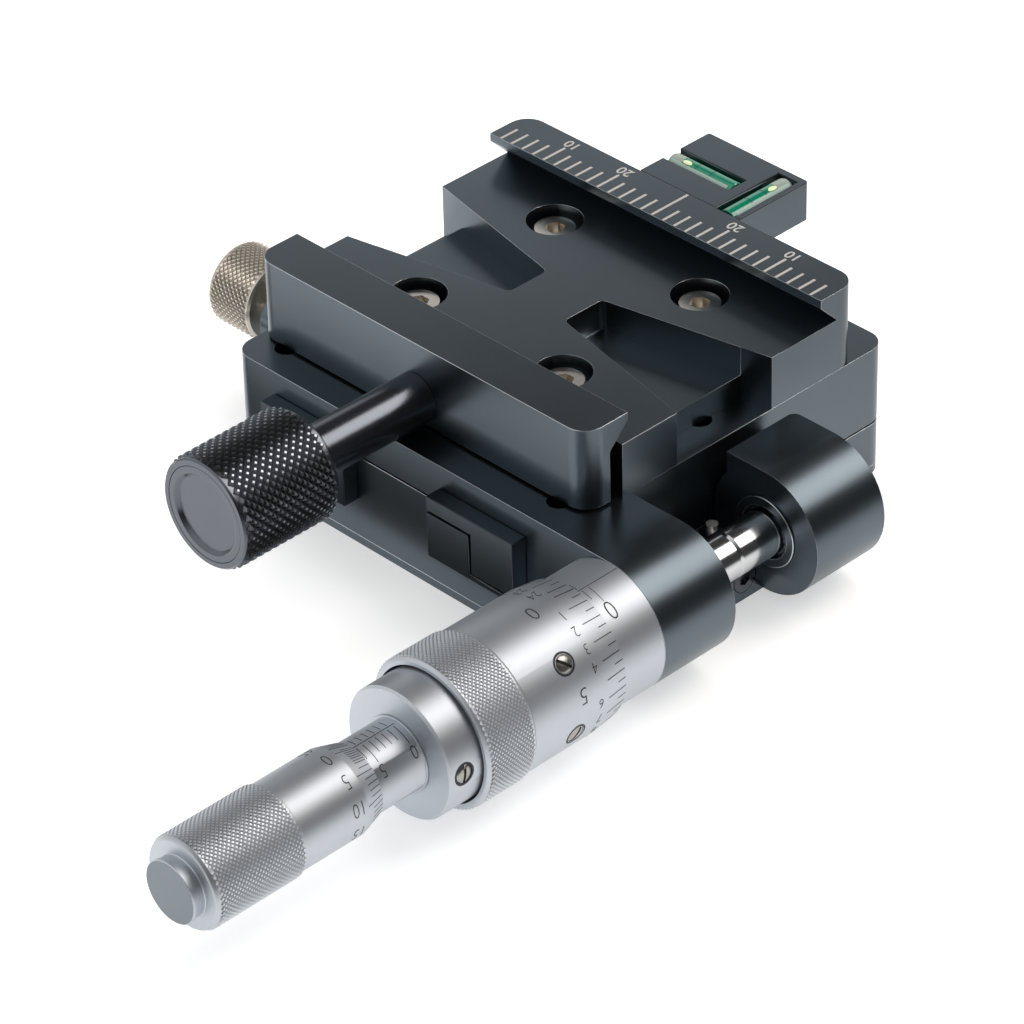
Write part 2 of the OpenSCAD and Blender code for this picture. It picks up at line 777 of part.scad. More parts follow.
// the clamp knob: a barrel with a recess for the cap in its outer face
module clamp_knob() {
    color(dark) translate([0, knob_y1, drive_z]) rotate([-90, 0, 0]) rotate_extrude()
        polygon([[knob_cap_r + seat_fit, 0], [knob_r - knob_ease, 0], [knob_r, knob_ease],
            [knob_r, knob_l - knob_ease], [knob_r - knob_ease, knob_l],
            [knob_stem_r + seat_fit, knob_l], [knob_stem_r + seat_fit, knob_cap_t],
            [knob_cap_r + seat_fit, knob_cap_t]]);
}

// the dished cap in the clamp knob's face
module knob_cap() {
    color(dark) translate([0, knob_y1, drive_z]) rotate([-90, 0, 0]) rotate_extrude()
        polygon([[0, dish_h], [dish_r - dish_h, dish_h], [dish_r, 0], [knob_cap_r, 0],
            [knob_cap_r, knob_cap_t], [0, knob_cap_t]]);
}

// the pad that the lock's screw presses on the table's side
module lock_pad() {
    x1 = -x_side - lock_pad_gap;
    color(champagne) bar_x(lock_y, lock_z, lock_pad_r, x1 - lock_pad_t, x1);
}

module lock_screw() {
    color(steel) bar_x(lock_y, lock_z, lock_screw_r, lock_knob_x - lock_l / 2,
        -x_side - lock_pad_gap - lock_pad_t);
}

// the lock knob: a short barrel with a neck towards the bracket
module lock_knob() {
    r = lock_d / 2;
    color(champagne) translate([lock_knob_x, lock_y, lock_z]) rotate([0, 90, 0]) rotate_extrude()
        polygon([[0, -lock_l], [r - lock_ease, -lock_l], [r, lock_ease - lock_l], [r, -lock_ease],
            [r - lock_ease, 0], [lock_neck_r, 0], [lock_neck_r, lock_neck_l],
            [lock_screw_r, lock_neck_l], [lock_screw_r, -lock_l / 2], [0, -lock_l / 2]]);
}

// the block that holds the two vials, one along X and one along Y
module level_block() {
    half = level_w / 2;
    slot_r = vial_r + vial_fit;
    color(anodised) difference() {
        rounded_block(-half, half, level_y0, level_y1, level_z0, jaw_top_z, level_ease);
        vial_slot_x(slot_r);
        vial_slot_y(slot_r);
    }
}

// the round-bottomed slot of the vial along X, open at the block's left side
module vial_slot_x(r) {
    x0 = -level_w / 2 - over;
    x1 = vial_x_in - level_w / 2 + vial_x_l + vial_fit;
    bar_x(vial_x_y, vial_z, r, x0, x1);
    translate([x0, vial_x_y - r, vial_z]) cube([x1 - x0, 2 * r, vial_r + over]);
}

// the round-bottomed slot of the vial along Y, open at the fixed jaw
module vial_slot_y(r) {
    y0 = level_y0 - over;
    y1 = vial_y_y + vial_y_l + vial_fit;
    bar_y(vial_y_x, vial_z, r, y0, y1);
    translate([vial_y_x - r, y0, vial_z]) cube([2 * r, y1 - y0, vial_r + over]);
}

// a closed glass tube along Z from its origin
module vial_tube(l) {
    difference() {
        cylinder(h = l, r = vial_r);
        translate([0, 0, vial_wall]) cylinder(h = l - 2 * vial_wall, r = vial_r - vial_wall);
    }
}

// the liquid in a vial, less its bubble at the given distance from the tube's start
module vial_liquid(l, at) {
    inner = vial_r - vial_wall - liquid_fit;
    difference() {
        translate([0, 0, vial_wall]) cylinder(h = l - 2 * vial_wall, r = inner);
        translate([0, bubble_r / 2 - inner, at]) {
            translate([0, 0, -bubble_l / 2]) cylinder(h = bubble_l, r = bubble_r);
            for (z = [-1, 1]) translate([0, 0, z * bubble_l / 2]) sphere(bubble_r, $fn = round_fn);
        }
    }
}

// turns a vial drawn along Z to lie along X, or along Y, with its bubble on top
module lay_x() {
    translate([vial_x_in - level_w / 2, vial_x_y, vial_z]) rotate([90, 0, 90]) mirror([0, 1, 0])
        children();
}

module lay_y() {
    translate([vial_y_x, vial_y_y, vial_z]) rotate([-90, 0, 0]) children();
}

module vial_x() {
    color(clear_glass, 0.5) lay_x() vial_tube(vial_x_l);
}

module vial_y() {
    color(clear_glass, 0.5) lay_y() vial_tube(vial_y_l);
}

module liquid_x() {
    color(liquid_green) lay_x() vial_liquid(vial_x_l, bubble_x_at);
}

module liquid_y() {
    color(liquid_green) lay_y() vial_liquid(vial_y_l, bubble_y_at);
}

// the head's stem: a shank in the ear, a thick sleeve under the fine thimble and a nose
module stem() {
    bore_y = nose_end_y + tube_l;
    color(satin) turned([[guide_r, ear_y1], [shank_r, ear_y1], [shank_r, ear_y0], [stem_r, ear_y0],
        [stem_r, stem_end_y], [nose_r, stem_end_y], [nose_r, nose_end_y],
        [tube_r + run_fit, nose_end_y], [tube_r + run_fit, bore_y + over], [guide_r, bore_y + over]]);
}

// the nut that the fine thimble turns on; it slides along the stem's nose
module fine_nut() {
    color(steel) turned([[nose_r + run_fit, nut_y0], [fine_bore_r - axis_clear, nut_y0],
        [fine_bore_r - axis_clear, nut_y0 - nut_l], [nose_r + run_fit, nut_y0 - nut_l]]);
}

// the fine thimble: a graduated bevel, a plain barrel and an inner web
module fine_thimble() {
    r = fine_d / 2;
    color(satin) difference() {
        turned([[fine_bore_r, fine_edge_y], [r - bevel_drop, fine_edge_y],
            [r, fine_edge_y - bevel_l], [r, fine_y1], [nose_r + axis_clear, fine_y1],
            [nose_r + axis_clear, fine_y1 + web_t], [fine_bore_r, fine_y1 + web_t]]);
        for (angle = thimble_screw_degs) radial(angle, thimble_screw_y)
            cylinder(h = 2 * r, r = thimble_screw_r + seat_fit);
    }
}

// turns a shape drawn along Z to point outwards from the micrometer's axis
module radial(angle, y) {
    translate([axis_x, y, axis_z]) rotate([0, 90 - angle, 0]) children();
}

// one slotted set screw in the fine thimble's wall
module thimble_screw(n) {
    r = fine_d / 2;
    wall = r - fine_bore_r;
    color(steel) radial(thimble_screw_degs[n], thimble_screw_y) difference() {
        translate([0, 0, fine_bore_r + wall / 8]) cylinder(h = 3 * wall / 4, r = thimble_screw_r);
        translate([-thimble_screw_r - over, -thimble_screw_r / 6, r - wall / 2])
            cube([2 * thimble_screw_r + 2 * over, thimble_screw_r / 3, wall]);
    }
}

// the fine thimble's knurled ring, which overhangs the hub
module fine_grip() {
    r = fine_grip_d / 2;
    color(satin) turned([[nose_r + axis_clear, fine_y1], [r - grip_ease / 2, fine_y1],
        [r, fine_y1 - grip_ease / 2], [r, grip_y1 + grip_ease], [r - grip_ease, grip_y1],
        [grip_bore_r, grip_y1], [grip_bore_r, fine_y1 - grip_web_t],
        [nose_r + axis_clear, fine_y1 - grip_web_t]]);
}

// the hub between the heads, with a guide tube inside the stem
module hub() {
    r = hub_d / 2;
    screw_y0 = hub_y1 + hub_bare / 2 - edge_ease;
    color(satin) difference() {
        turned([[guide_r, hub_y0 + tube_l], [tube_r, hub_y0 + tube_l], [tube_r, hub_y0],
            [r, hub_y0], [r, hub_y1 + edge_ease], [r - edge_ease, hub_y1], [guide_r, hub_y1]]);
        radial(hub_screw_deg, screw_y0) difference() {
            translate([0, 0, r - 2 * edge_ease]) cylinder(h = r, r = hub_screw_r + axis_clear);
            cylinder(h = r - edge_ease / 2, r = hub_screw_r);
        }
        radial(hub_screw_deg, screw_y0)
            translate([-hub_screw_r, -hub_screw_r / 6, r - 2 * edge_ease])
                cube([2 * hub_screw_r, hub_screw_r / 3, r]);
    }
}

// the sleeve that carries the coarse scale
module coarse_sleeve() {
    color(satin) turned([[guide_r, hub_y1], [hub_ring_r, hub_y1], [hub_ring_r, hub_y1 - hub_ring_h],
        [sleeve_r, hub_y1 - hub_ring_h], [sleeve_r, sleeve_end_y], [guide_r, sleeve_end_y]]);
}

// the coarse thimble: a graduated bevel, a plain barrel, a grip and a rounded collar
module coarse_thimble() {
    r = coarse_d / 2;
    grip_r = coarse_grip_d / 2;
    collar = [for (a = [0 : 15 : 90]) [grip_r - collar_ease + collar_ease * cos(a),
        coarse_end_y + collar_ease - collar_ease * sin(a)]];
    color(satin) turned(concat([[coarse_bore_r, coarse_edge_y],
        [coarse_bore_r + coarse_edge_t, coarse_edge_y], [r, coarse_edge_y - coarse_bevel_l],
        [r, coarse_grip_y0], [grip_r, coarse_grip_y0], [grip_r, coarse_grip_y1],
        [grip_r - edge_ease / 2, coarse_grip_y1], [grip_r - edge_ease / 2, coarse_grip_y1 - edge_ease],
        [grip_r, coarse_grip_y1 - edge_ease]], collar,
        [[button_stem_r, coarse_end_y], [button_stem_r, coarse_end_y + button_stem_l],
        [0, coarse_end_y + button_stem_l], [0, coarse_bore_y - neck_l - 2 * axis_clear],
        [neck_r + run_fit, coarse_bore_y - neck_l - 2 * axis_clear],
        [neck_r + run_fit, coarse_bore_y], [coarse_bore_r, coarse_bore_y]]));
}

// the button on the end of the coarse thimble, with a soft rounded face
module end_button() {
    r = button_d / 2;
    face_y = coarse_end_y - button_l;
    edge = [for (a = [0 : 15 : 90]) [r - button_ease + button_ease * cos(a),
        face_y + button_ease - button_ease * sin(a)]];
    color(satin) turned(concat([[0, coarse_end_y + button_stem_l - axis_clear],
        [button_stem_r, coarse_end_y + button_stem_l - axis_clear],
        [button_stem_r, coarse_end_y], [r - edge_ease, coarse_end_y],
        [r, coarse_end_y - edge_ease]], edge, [[0, face_y - edge_ease / 2]]));
}

base_block();
bottom_plate();
bottom_screw(0);  // bottom_screw_1
bottom_screw(1);  // bottom_screw_2
bottom_screw(2);  // bottom_screw_3
bottom_screw(3);  // bottom_screw_4
base_rail(-1);  // base_rail_left
base_rail(1);  // base_rail_right
base_cap(-1, -1);  // base_cap_front_left
base_cap(1, -1);  // base_cap_front_right
base_cap(-1, 1);  // base_cap_rear_left
base_cap(1, 1);  // base_cap_rear_right
anvil_bracket();
anvil_screw(0);  // anvil_screw_1
anvil_screw(1);  // anvil_screw_2
anvil_bush();
anvil_pin();
stop_pin();
spindle();
lock_bracket();
roller_cage(-1);  // roller_cage_left
roller_cage(1);  // roller_cage_right
rollers(-1);  // rollers_left
rollers(1);  // rollers_right
table();
table_rail(-1);  // table_rail_left
table_rail(1);  // table_rail_right
table_cap(-1, -1);  // table_cap_front_left
table_cap(1, -1);  // table_cap_front_right
table_cap(-1, 1);  // table_cap_rear_left
table_cap(1, 1);  // table_cap_rear_right
clamp_body();
clamp_screw(0);  // clamp_screw_1
clamp_screw(1);  // clamp_screw_2
clamp_screw(2);  // clamp_screw_3
clamp_screw(3);  // clamp_screw_4
level_block();
vial_x();
vial_y();
liquid_x();
liquid_y();
stem();
front_jaw();
jaw_pin(-1);  // jaw_pin_left
jaw_pin(1);  // jaw_pin_right
clamp_spindle();
clamp_knob();
knob_cap();
lock_pad();
lock_screw();
lock_knob();
fine_nut();
fine_thimble();
fine_grip();
thimble_screw(0);  // thimble_screw_1
thimble_screw(1);  // thimble_screw_2
hub();
coarse_sleeve();
coarse_thimble();
end_button();
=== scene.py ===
import json
import math

import bmesh
import bpy
from mathutils import Matrix, Vector


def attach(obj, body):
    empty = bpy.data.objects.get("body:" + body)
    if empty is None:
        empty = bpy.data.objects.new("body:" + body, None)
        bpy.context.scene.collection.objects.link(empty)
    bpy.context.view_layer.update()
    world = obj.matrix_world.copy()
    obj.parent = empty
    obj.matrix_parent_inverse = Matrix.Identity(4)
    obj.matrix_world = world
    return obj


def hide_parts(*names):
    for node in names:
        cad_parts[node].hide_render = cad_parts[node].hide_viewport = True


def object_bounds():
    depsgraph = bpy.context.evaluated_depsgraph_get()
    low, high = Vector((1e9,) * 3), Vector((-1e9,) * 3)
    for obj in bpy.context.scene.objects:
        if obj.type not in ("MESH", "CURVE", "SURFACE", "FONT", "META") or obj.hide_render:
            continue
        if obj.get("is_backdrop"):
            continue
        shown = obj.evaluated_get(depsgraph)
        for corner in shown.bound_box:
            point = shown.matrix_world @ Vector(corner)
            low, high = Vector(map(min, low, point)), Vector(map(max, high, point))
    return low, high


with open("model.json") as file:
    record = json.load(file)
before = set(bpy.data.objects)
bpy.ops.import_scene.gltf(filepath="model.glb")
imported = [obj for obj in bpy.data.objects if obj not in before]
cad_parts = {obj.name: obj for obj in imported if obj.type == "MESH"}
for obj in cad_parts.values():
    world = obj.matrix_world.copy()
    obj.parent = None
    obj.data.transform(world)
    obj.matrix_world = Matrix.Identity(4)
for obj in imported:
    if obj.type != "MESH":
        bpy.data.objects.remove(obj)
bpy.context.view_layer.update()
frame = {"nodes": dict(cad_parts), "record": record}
scene = bpy.context.scene
scene.view_settings.view_transform = "Standard"

# The photograph's view: a long lens about two thirds of a metre away, above the
# rail's front right corner, a little off level.
azimuth, elevation, roll = math.radians(46.36), math.radians(35.03), math.radians(-1.43)
back = Vector((math.sin(azimuth) * math.cos(elevation),
               -math.cos(azimuth) * math.cos(elevation),
               math.sin(elevation)))
level_right = Vector((math.cos(azimuth), math.sin(azimuth), 0))
level_up = back.cross(level_right)
right = level_right * math.cos(roll) + level_up * math.sin(roll)
up = level_up * math.cos(roll) - level_right * math.sin(roll)
lens = bpy.data.cameras.new("photo_camera")
lens.sensor_width, lens.lens = 36, 178.8
lens.clip_start, lens.clip_end = 0.01, 20
camera = bpy.data.objects.new("photo_camera", lens)
camera.matrix_world = Matrix((right, up, back)).transposed().to_4x4()
camera.location = (0.39425, -0.38526, 0.37973)
scene.collection.objects.link(camera)
scene.camera = camera


# The studio room: white behind everything the camera and the glass look at. Metal
# mirrors a dark ceiling with one pale side at the front left, which lights the edges.
def added(tree, kind, inputs, **settings):
    """A new shader node. An input that is a socket is linked, and any other value is typed in."""
    node = tree.nodes.new(kind)
    for label, value in settings.items():
        setattr(node, label, value)
    for label, value in inputs.items():
        if isinstance(value, bpy.types.NodeSocket):
            tree.links.new(value, node.inputs[label])
        else:
            node.inputs[label].default_value = value
    return node


world = bpy.data.worlds.new("white_sweep")
scene.world = world
world.use_nodes = True
room = world.node_tree
pale_side, dark, pale = (-0.6, -0.7, 0.39), 0.05, 0.9
soft_fill, white = 0.6, 1.0
ray = added(room, "ShaderNodeLightPath", {})
way = added(room, "ShaderNodeTexCoord", {})
towards = added(room, "ShaderNodeVectorMath", {0: way.outputs["Generated"], 1: pale_side},
                operation="DOT_PRODUCT")
mirrored = added(room, "ShaderNodeMapRange",
                 {"Value": towards.outputs["Value"], "From Min": 0.3, "From Max": 0.85,
                  "To Min": dark, "To Max": pale}, interpolation_type="SMOOTHSTEP")
unlit = added(room, "ShaderNodeMix",
              {"Factor": ray.outputs["Is Glossy Ray"], "A": soft_fill, "B": mirrored.outputs[0]})
seen = added(room, "ShaderNodeMath",
             {0: ray.outputs["Is Camera Ray"], 1: ray.outputs["Is Transmission Ray"]},
             operation="MAXIMUM")
level = added(room, "ShaderNodeMix",
              {"Factor": seen.outputs[0], "A": unlit.outputs[0], "B": white})
background = room.nodes["Background"]
background.inputs["Color"].default_value = (1, 1, 1, 1)
room.links.new(level.outputs[0], background.inputs["Strength"])


# One large soft box hangs behind and above the rail, so that every turned piece
# carries one bright stripe. A second lamp only fills the shadows on the table.
def soft_box(name, place, aim, width, height, watts, tint=(1, 1, 1)):
    """A rectangular lamp that looks from its place at its aim."""
    lamp = bpy.data.lights.new(name, "AREA")
    lamp.shape, lamp.size, lamp.size_y = "RECTANGLE", width, height
    lamp.energy, lamp.color = watts, tint
    box = bpy.data.objects.new(name, lamp)
    box.location = place
    box.rotation_euler = (Vector(aim) - Vector(place)).to_track_quat("-Z", "Y").to_euler()
    scene.collection.objects.link(box)
    return box


warm_white = (1.0, 0.945, 0.9)
soft_box("box_above", (0.31, 0.47, 0.70), (0.03, -0.03, 0.01), 0.5, 0.6, 3.4, warm_white)
fill = soft_box("box_fill", (-0.5, 0.3, 0.8), (0, -0.03, 0.01), 0.6, 0.6, 3.0)
fill.visible_glossy = False


# A white reflector stands low behind the rail on the left. Only polished and anodised
# surfaces see it: it pales the flat tops towards the back and leaves them dark in front.
def flat_card(name, half, matrix, metal_only):
    """A square of the studio. One for metal only is there for mirror rays and nothing else."""
    sheet = bmesh.new()
    bmesh.ops.create_grid(sheet, x_segments=1, y_segments=1, size=half)
    bmesh.ops.transform(sheet, verts=sheet.verts, matrix=matrix)
    mesh = bpy.data.meshes.new(name)
    sheet.to_mesh(mesh)
    sheet.free()
    board = bpy.data.objects.new(name, mesh)
    scene.collection.objects.link(board)
    if metal_only:
        for kind in ("camera", "diffuse", "transmission", "volume_scatter", "shadow"):
            setattr(board, "visible_" + kind, False)
    return board


def cloth(name, tone, glow):
    """A dead matt grey of that tone, which may also glow."""
    look = bpy.data.materials.new(name)
    look.use_nodes = True
    shader = look.node_tree.nodes["Principled BSDF"]
    shader.inputs["Base Color"].default_value = (tone, tone, tone, 1)
    shader.inputs["Roughness"].default_value = 1.0
    shader.inputs["Specular IOR Level"].default_value = 0.0
    shader.inputs["Emission Color"].default_value = (1, 1, 1, 1)
    shader.inputs["Emission Strength"].default_value = glow
    return look


facing_rail = math.atan2(0.69, -0.72) - math.pi / 2
stood_up = (Matrix.Translation((-0.1227, 0.1176, 0.0725)) @ Matrix.Rotation(facing_rail, 4, "Z")
            @ Matrix.Rotation(math.pi / 2, 4, "X") @ Matrix.Diagonal((0.7, 0.145, 1, 1)))
back_reflector = flat_card("back_reflector", 0.5, stood_up, metal_only=True)
back_reflector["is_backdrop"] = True
back_reflector.data.materials.append(cloth("reflector_cloth", 0, glow=0.73))

# The studio's table under the rail: white card that keeps the rail's shadow. In the
# metal it is bright close by and falls off towards the far edge.
studio_table = flat_card("studio_table", 4, Matrix.Identity(4), metal_only=False)
studio_table.location.z = -0.0001
studio_table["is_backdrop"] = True
card = bpy.data.materials.new("white_card")
card.use_nodes = True
tree = card.node_tree
shader = tree.nodes["Principled BSDF"]
shader.inputs["Roughness"].default_value = 0.9
shader.inputs["Specular IOR Level"].default_value = 0.1
paper_tone, far_tone, near_glow, lens_glow = 0.86, 0.1, 0.5, 0.46
before_base = (-0.03, -0.06, 0)
place = added(tree, "ShaderNodeTexCoord", {})
ray = added(tree, "ShaderNodeLightPath", {})
off = added(tree, "ShaderNodeVectorMath", {0: place.outputs["Object"], 1: before_base},
            operation="SUBTRACT")
reach = added(tree, "ShaderNodeVectorMath", {0: off.outputs[0]}, operation="LENGTH")
near = added(tree, "ShaderNodeMapRange",
             {"Value": reach.outputs["Value"], "From Min": 0.03, "From Max": 0.2,
              "To Min": near_glow, "To Max": 0.0})
far = added(tree, "ShaderNodeMapRange",
            {"Value": reach.outputs["Value"], "From Min": 0.1, "From Max": 0.26,
             "To Min": paper_tone, "To Max": far_tone}, interpolation_type="SMOOTHSTEP")
paper = added(tree, "ShaderNodeMix",
              {"Factor": ray.outputs["Is Glossy Ray"], "A": paper_tone, "B": far.outputs[0]})
in_metal = added(tree, "ShaderNodeMath", {0: ray.outputs["Is Glossy Ray"], 1: near.outputs[0]},
                 operation="MULTIPLY")
strength = added(tree, "ShaderNodeMath",
                 {0: ray.outputs["Is Camera Ray"], 1: lens_glow, 2: in_metal.outputs[0]},
                 operation="MULTIPLY_ADD")
glow = added(tree, "ShaderNodeEmission", {"Strength": strength.outputs[0]})
lift = added(tree, "ShaderNodeAddShader", {0: shader.outputs[0], 1: glow.outputs[0]})
tree.links.new(paper.outputs[0], shader.inputs["Base Color"])
tree.links.new(lift.outputs[0], tree.nodes["Material Output"].inputs["Surface"])
studio_table.data.materials.append(card)

# A dark grey strip lies on the table before the base, a painted shade for the rail's
# contact shadow. Only the metal sees it: it keeps the base's front dark under the paler jaw.
laid_down = Matrix.Translation((-0.03, -0.0425, 0.0001)) @ Matrix.Diagonal((0.11, 0.015, 1, 1))
contact_shade_strip = flat_card("contact_shade_strip", 0.5, laid_down, metal_only=True)
contact_shade_strip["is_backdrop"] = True
contact_shade_strip.data.materials.append(cloth("painted_contact_shade", 0.08, glow=0.0))


# The base and what is screwed to it: milled aluminium blocks, finely blasted and
# anodised black, whose milled edges are broken by a small chamfer painted lighter as a highlight.
def skin_group(name, **inputs):
    """A shader group with those inputs, which will give out a colour, a roughness and a height."""
    group = bpy.data.node_groups.new(name, "ShaderNodeTree")
    kinds = {"Color": "NodeSocketColor"}
    for label, value in inputs.items():
        socket = group.interface.new_socket(label, in_out="INPUT",
                                            socket_type=kinds.get(label, "NodeSocketFloat"))
        socket.default_value = value
    for label in ("Color", "Roughness", "Height"):
        group.interface.new_socket(label, in_out="OUTPUT",
                                   socket_type=kinds.get(label, "NodeSocketFloat"))
    return group, group.nodes.new("NodeGroupInput"), group.nodes.new("ShaderNodeTexCoord")


def swayed(group, given, haze, swing, tone_reach, height):
    """Lets the haze sway the group's tone and the swing its roughness, and gives out all three."""
    rough = added(group, "ShaderNodeMath",
                  {0: swing, 1: given.outputs["Spread"], 2: given.outputs["Roughness"]},
                  operation="MULTIPLY_ADD")
    shade = added(group, "ShaderNodeMapRange",
                  {"Value": haze, "From Min": 0.3, "From Max": 0.7,
                   "To Min": 1 - tone_reach, "To Max": 1 + tone_reach})
    tint = added(group, "ShaderNodeVectorMath",
                 {0: given.outputs["Color"], "Scale": shade.outputs[0]}, operation="SCALE")
    added(group, "NodeGroupOutput",
          {"Color": tint.outputs[0], "Roughness": rough.outputs[0], "Height": height})


blast, given, place = skin_group("blasted_skin", Color=(0.02, 0.02, 0.02, 1), Grain=2600.0,
                                 Roughness=0.4, Spread=0.06)
pits = added(blast, "ShaderNodeTexNoise",
             {"Vector": place.outputs["Object"], "Scale": given.outputs["Grain"], "Detail": 3})
haze = added(blast, "ShaderNodeTexNoise",
             {"Vector": place.outputs["Object"], "Scale": 55, "Detail": 4})
swing = added(blast, "ShaderNodeMath", {0: haze.outputs["Fac"], 1: 0.5}, operation="SUBTRACT")
swayed(blast, given, haze.outputs["Fac"], swing.outputs[0], 0.07, pits.outputs["Fac"])


def skinned(name, group, colour, roughness, spread, depth, metallic=1.0, specular=0.5, grain=None):
    """A look whose colour, roughness and fine relief come from a shader group."""
    finish = bpy.data.materials.new(name)
    finish.use_nodes = True
    tree = finish.node_tree
    shader = tree.nodes["Principled BSDF"]
    shader.inputs["Metallic"].default_value = metallic
    shader.inputs["Specular IOR Level"].default_value = specular
    skin = tree.nodes.new("ShaderNodeGroup")
    skin.node_tree = group
    skin.inputs["Color"].default_value = (*colour, 1)
    skin.inputs["Roughness"].default_value = roughness
    skin.inputs["Spread"].default_value = spread
    if grain:
        skin.inputs["Grain"].default_value = grain
    relief = added(tree, "ShaderNodeBump",
                   {"Distance": depth, "Strength": 1.0, "Height": skin.outputs["Height"]})
    tree.links.new(skin.outputs["Color"], shader.inputs["Base Color"])
    tree.links.new(skin.outputs["Roughness"], shader.inputs["Roughness"])
    tree.links.new(relief.outputs["Normal"], shader.inputs["Normal"])
    return finish


MM = 0.001
anodised = skinned("black_anodised", blast, (0.125, 0.152, 0.173), 0.29, 0.05, 1.5e-6,
                   metallic=0.99, grain=3000)
# The chamfers' light colour is a painted highlight.
anodised_edge_highlight = skinned("black_anodised_edge_highlight", blast, (0.60, 0.63, 0.66), 0.26, 0.15, 5e-7,
                        grain=1800)


def eased(node, body, width, finish, edge=None):
    """A CAD node's own shape with its outer edges broken, as a separate finished piece."""
    crease = math.radians(28)
    shape = bmesh.new()
    shape.from_mesh(frame["nodes"][node].data)
    bmesh.ops.remove_doubles(shape, verts=shape.verts, dist=1e-6)
    bmesh.ops.dissolve_limit(shape, angle_limit=math.radians(0.6), verts=shape.verts,
                             edges=shape.edges, delimit={"NORMAL"})
    outer = shape.edges.layers.float.new("bevel_weight_edge")
    for rim in shape.edges:
        if rim.is_manifold and rim.is_convex and rim.calc_face_angle() > crease:
            rim[outer] = 1.0
    mesh = bpy.data.meshes.new(node + "_eased")
    shape.to_mesh(mesh)
    shape.free()
    for face in mesh.polygons:
        face.use_smooth = True
    mesh.set_sharp_from_angle(angle=crease)
    mesh.materials.append(finish)
    mesh.materials.append(edge or finish)
    piece = bpy.data.objects.new(node + "_eased", mesh)
    scene.collection.objects.link(piece)
    ease = piece.modifiers.new("ease", "BEVEL")
    ease.width, ease.segments, ease.limit_method = width * MM, 3, "WEIGHT"
    ease.profile, ease.material = 0.5, 1
    ease.harden_normals = True
    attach(piece, body)
    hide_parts(node)


wide, narrow = 0.28, 0.16
for node, width in (("base_block", wide), ("bottom_plate", 0.25), ("anvil_bracket", wide),
                    ("anvil_bush", 0.12)):
    eased(node, "base", width, anodised, anodised_edge_highlight)

# The slide's end caps and the lock's bracket: smaller anodised pieces screwed to the
# base. Their edges are barely broken and painted darker, a painted shade that deepens the gaps.
cap_edge_shade = skinned("black_anodised_cap_edge_shade", blast, (0.07, 0.08, 0.09), 0.3, 0.15, 5e-7,
                   grain=1800)
for node in ("base_cap_front_left", "base_cap_front_right", "base_cap_rear_left",
             "base_cap_rear_right", "lock_bracket"):
    eased(node, "base", narrow, anodised, cap_edge_shade)

# The table with its own end caps, the clamp that four screws hold on it, the level's
# block behind and the jaw that slides in front: the same black aluminium.
# The end caps and the level's block take the dark edge of painted shade, the rest the light edge of
# painted highlight.
for node, width, edge in (("table", wide, anodised_edge_highlight),
                          ("table_cap_front_left", narrow, cap_edge_shade),
                          ("table_cap_front_right", narrow, cap_edge_shade),
                          ("table_cap_rear_left", narrow, cap_edge_shade),
                          ("table_cap_rear_right", narrow, cap_edge_shade),
                          ("clamp_body", wide, anodised_edge_highlight), ("level_block", 0.2, cap_edge_shade)):
    eased(node, "table", width, anodised, edge)
eased("front_jaw", "jaw", wide, anodised, anodised_edge_highlight)

# The clamp knob: a black turned knob with a coarse diamond knurl of sharp pyramids,
# a plain rim round its dished cap, screwed on the clamp's spindle.
gloss = skinned("gloss_black", blast, (0.125, 0.135, 0.155), 0.22, 0.05, 4e-7,
                metallic=0.95, grain=900)


def turned(outline, steps, spot, along):
    """An outline of (station, radius) pairs in millimetres, spun about the line through spot."""
    shape = bmesh.new()
    ring = [shape.verts.new((spot + along * station + Vector((0, 0, radius))) * MM)
            for station, radius in outline]
    rim = [shape.edges.new(pair) for pair in zip(ring, ring[1:])]
    if outline[0][1] > 0:
        rim.append(shape.edges.new((ring[-1], ring[0])))
    bmesh.ops.spin(shape, geom=ring + rim, cent=spot * MM, axis=along, angle=2 * math.pi,
                   steps=steps, use_merge=True)
    bmesh.ops.remove_doubles(shape, verts=shape.verts, dist=1e-7)
    bmesh.ops.recalc_face_normals(shape, faces=shape.faces)
    for face in shape.faces:
        face.smooth = True
    return shape


def band(first, last, rows, radius):
    """The outline's points for a knurl of that many rows of diamonds."""
    return [(first + (last - first) * k / (2 * rows), radius) for k in range(2 * rows + 1)]


def knurl(shape, spot, along, points, around, depth, blunt):
    """Raises every other lattice point of a turned band into a pyramid and blunts its tip.

    The grooves between get the piece's second look, and the blunt tips its third: a painted
    highlight."""
    first, pitch, radius = points[0][0], points[1][0] - points[0][0], points[0][1]
    lattice = {}
    for vert in shape.verts:
        off = vert.co / MM - spot
        row = (off.dot(along) - first) / pitch
        out = off - along * off.dot(along)
        if -0.01 < row < len(points) - 0.99 and abs(out.length - radius) < 1e-3:
            turn = math.atan2(out.cross(Vector((0, 0, 1))).dot(along), out.z)
            lattice[vert] = (round(row), round(turn / math.pi * around), out.normalized())
    for face in list(shape.faces):
        if len(face.verts) == 4 and all(v in lattice for v in face.verts):
            low = [v for v in face.verts if (lattice[v][0] + lattice[v][1]) % 2]
            if len(low) == 2:
                bmesh.utils.face_split(face, low[0], low[1])
    for face in shape.faces:
        if all(v in lattice for v in face.verts):
            face.smooth = False
    tips = [v for v, (row, turn, _) in lattice.items()
            if (row + turn) % 2 == 0 and 0 < row < len(points) - 1]
    for vert in tips:
        vert.co += lattice[vert][2] * depth * MM
    for face in shape.faces:
        face.material_index = 0 if face.smooth else 1
    bmesh.ops.bevel(shape, geom=tips, offset=blunt * MM, offset_type="OFFSET", affect="VERTICES",
                    segments=1, profile=0.5, material=2)
    return shape


